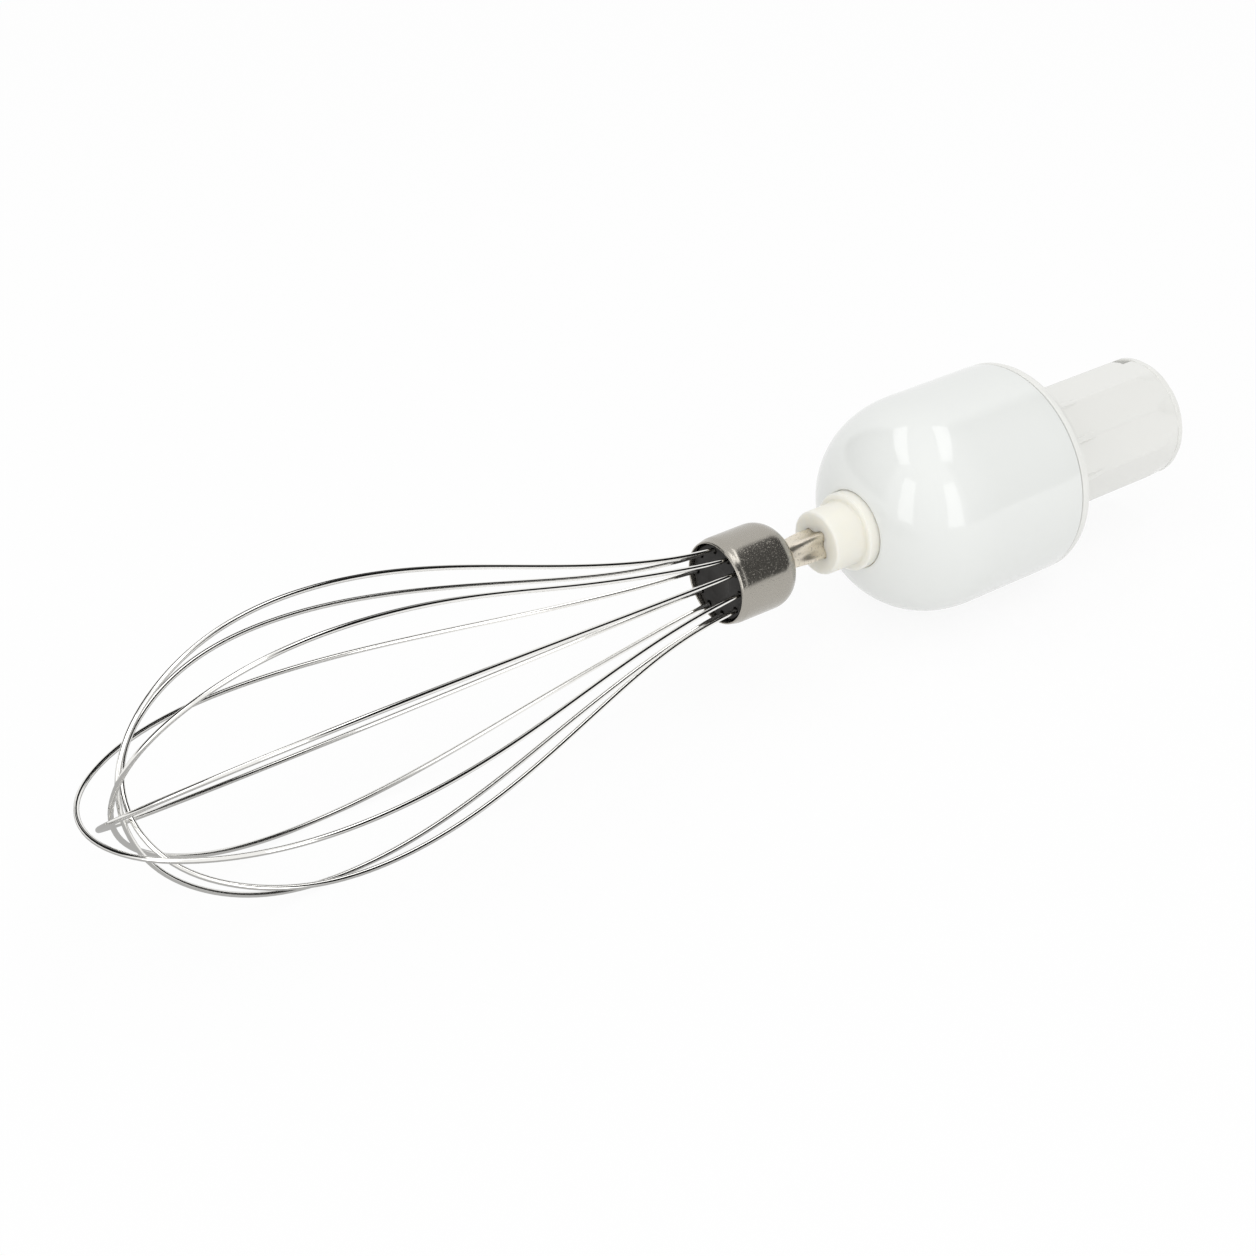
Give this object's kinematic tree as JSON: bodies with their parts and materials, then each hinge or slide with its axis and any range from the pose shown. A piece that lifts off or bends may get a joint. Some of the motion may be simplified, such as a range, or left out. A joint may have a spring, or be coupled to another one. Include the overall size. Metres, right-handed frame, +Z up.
{
  "type": "immersion blender whisk attachment",
  "caption": "Balloon wire whisk with a lobed plug-in stem, pushed into a planetary gearbox whose ten-sided neck fits a hand blender.",
  "frame": {"origin": "on the table, under the middle of the bounding box", "axes": "+X towards the neck that plugs into the hand blender, -X towards the tip of the whisk, +Z up; the axis rises by about 1.2 degrees towards the tip"},
  "size_m": [0.2789, 0.0604, 0.0633],
  "materials": {
    "housing_white": "glossy moulded white plastic",
    "cover_white": "glossy moulded white plastic, a little warmer than the dome",
    "gear_white": "natural moulded gear plastic",
    "sintered_bronze": "oil-filled sintered bronze",
    "washer_nylon": "plain nylon",
    "ivory_nylon": "natural ivory nylon",
    "spring_steel": "plain steel",
    "black_nylon": "black nylon",
    "nickel_plate": "satin nickel plate with a fine grain",
    "black_plug": "matte black moulded plastic",
    "stainless_wire": "bright drawn stainless wire"
  },
  "bodies": {
    "gearbox_housing": {"front_housing": "housing_white", "rear_cover": "cover_white", "ring_gear": "gear_white", "input_bearing": "sintered_bronze", "thrust_washer": "washer_nylon"},
    "output_carrier": {"output_socket": "ivory_nylon", "carrier_plate": "gear_white", "planet_pin_1": "spring_steel", "planet_pin_2": "spring_steel", "planet_pin_3": "spring_steel", "snap_ring": "spring_steel"},
    "planet_1": {"planet_gear_1": "gear_white"},
    "planet_2": {"planet_gear_2": "gear_white"},
    "planet_3": {"planet_gear_3": "gear_white"},
    "input_drive": {"sun_shaft": "spring_steel", "drive_coupling": "black_nylon", "retaining_clip": "spring_steel"},
    "whisk": {"drive_stem": "nickel_plate", "ferrule": "nickel_plate", "wire_plug": "black_plug", "wire_loop_1": "stainless_wire", "wire_loop_2": "stainless_wire", "wire_loop_3": "stainless_wire", "wire_loop_4": "stainless_wire", "wire_loop_5": "stainless_wire"}
  },
  "joints": [
    {"name": "output_spin", "type": "hinge", "parent": "gearbox_housing", "child": "output_carrier", "pos_m": [0.05936, 0.00054, 0.02573], "axis": [0.9998, 0, -0.0207], "continuous": true},
    {"name": "input_spin", "type": "hinge", "parent": "gearbox_housing", "child": "input_drive", "pos_m": [0.09935, 0.00054, 0.0249], "axis": [0.9998, 0, -0.0207], "continuous": true},
    {"name": "planet_1_spin", "type": "hinge", "parent": "output_carrier", "child": "planet_1", "pos_m": [0.08161, 0.00059, 0.03727], "axis": [0.9998, 0, -0.0207], "continuous": true},
    {"name": "planet_2_spin", "type": "hinge", "parent": "output_carrier", "child": "planet_2", "pos_m": [0.08123, 0.0109, 0.01923], "axis": [0.9998, 0, -0.0207], "continuous": true},
    {"name": "planet_3_spin", "type": "hinge", "parent": "output_carrier", "child": "planet_3", "pos_m": [0.08123, -0.00988, 0.01932], "axis": [0.9998, 0, -0.0207], "continuous": true},
    {"name": "whisk_pull", "type": "slide", "parent": "output_carrier", "child": "whisk", "axis": [-0.9998, 0, 0.0207], "range_m": [0, 0.023]}
  ],
  "couplings": [
    {"joint": "input_spin", "follows": "output_spin", "ratio": 4},
    {"joint": "planet_1_spin", "follows": "output_spin", "ratio": -3},
    {"joint": "planet_2_spin", "follows": "output_spin", "ratio": -3},
    {"joint": "planet_3_spin", "follows": "output_spin", "ratio": -3}
  ]
}
